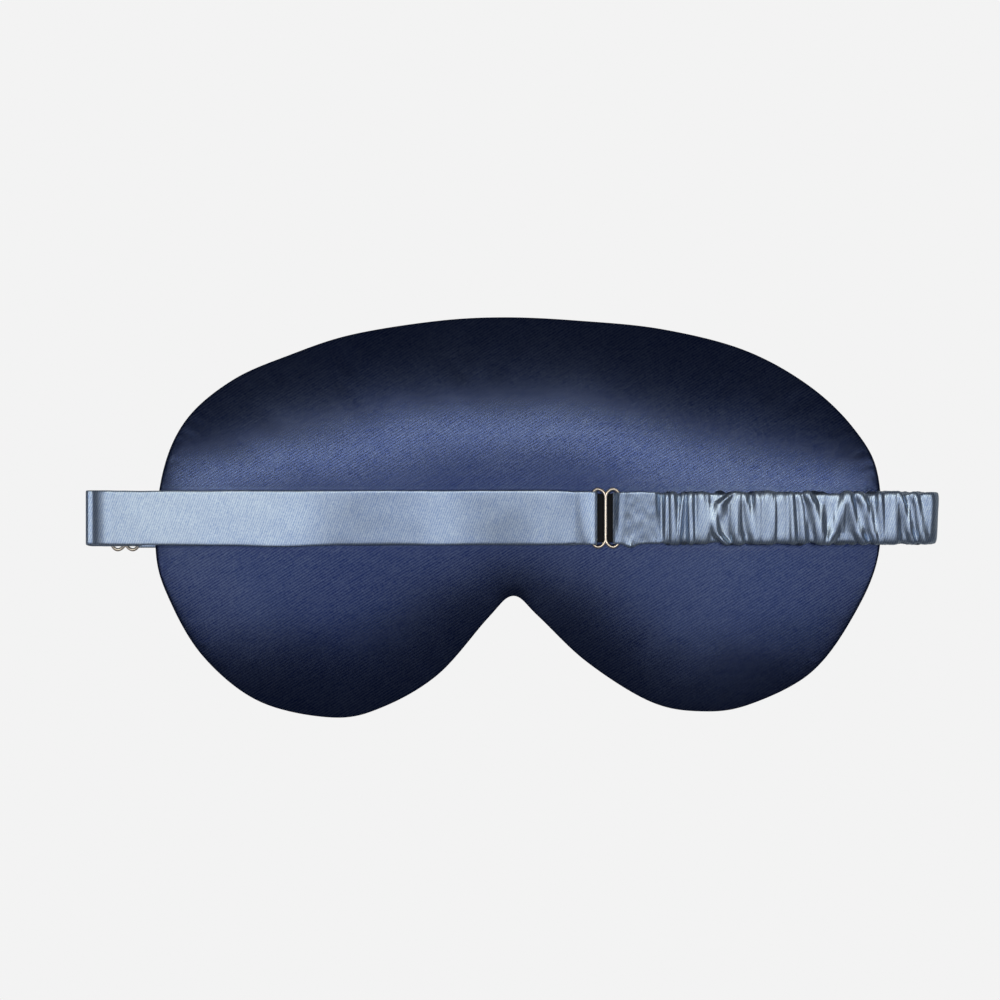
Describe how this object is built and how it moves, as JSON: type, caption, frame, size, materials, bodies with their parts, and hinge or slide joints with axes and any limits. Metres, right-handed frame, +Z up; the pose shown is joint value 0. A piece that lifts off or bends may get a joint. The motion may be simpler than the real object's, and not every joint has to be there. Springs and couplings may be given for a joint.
{
  "type": "sleep eye mask",
  "caption": "Padded satin sleep eye mask with a nose notch and a flat strap joined by a wire slide to a gathered elastic strap, lying on its outer face.",
  "frame": {"origin": "middle of the overall footprint, on the surface that the mask's outer face lies on", "axes": "+X along the strap to its gathered end, +Y to the top of the mask, +Z up through the mask to the wearer's side"},
  "size_m": [0.2478, 0.1168, 0.0172],
  "materials": {
    "navy_satin": "navy satin with a fine diagonal weave",
    "blue_satin": "grey-blue satin with a soft sheen",
    "gold_wire": "polished pale gold plating",
    "blackout_cloth": "matt black cloth",
    "fibre_fill": "white fibre filling",
    "elastic_webbing": "white woven elastic",
    "navy_thread": "navy sewing thread",
    "blue_thread": "grey-blue sewing thread"
  },
  "bodies": {
    "mask": {"front_panel": "navy_satin", "blackout_lining": "blackout_cloth", "filling_pad": "fibre_fill", "back_panel": "navy_satin", "seam_allowance": "navy_satin", "seam_thread": "navy_thread", "strap_anchor_run": "blue_satin", "strap_fold_outer": "blue_satin", "strap_fold_inner": "blue_satin", "ruched_casing_fold": "blue_satin", "elastic_core_fold": "elastic_webbing", "ruched_casing_anchor": "blue_satin", "elastic_core_anchor": "elastic_webbing"},
    "adjuster": {"adjuster_slide": "gold_wire", "strap_weave": "blue_satin", "tail_loop": "blue_satin", "tail_stitch": "blue_thread"},
    "strap": {"strap_inner_ply": "blue_satin", "strap_outer_ply": "blue_satin", "strap_end_wrap": "blue_satin", "elastic_tab": "blue_satin", "tab_stitch": "blue_thread", "ruched_casing": "blue_satin", "elastic_core": "elastic_webbing"},
    "connector": {"connector_slide": "gold_wire"}
  },
  "joints": [
    {"name": "strap_lift", "type": "slide", "parent": "mask", "child": "strap", "axis": [0, 0, 1], "range_m": [0, 0.08], "deforming": ["strap_fold_outer", "strap_fold_inner", "ruched_casing_fold", "elastic_core_fold"]},
    {"name": "adjuster_travel", "type": "slide", "parent": "mask", "child": "adjuster", "axis": [1, 0, 0], "range_m": [-0.0025, 0.0025], "deforming": ["strap_anchor_run"]},
    {"name": "connector_tilt", "type": "hinge", "parent": "strap", "child": "connector", "pos_m": [0.0271, -0.00015, 0.0155], "axis": [0, 1, 0], "range_deg": [-15, 15], "deforming": ["strap_end_wrap", "elastic_tab"]}
  ]
}
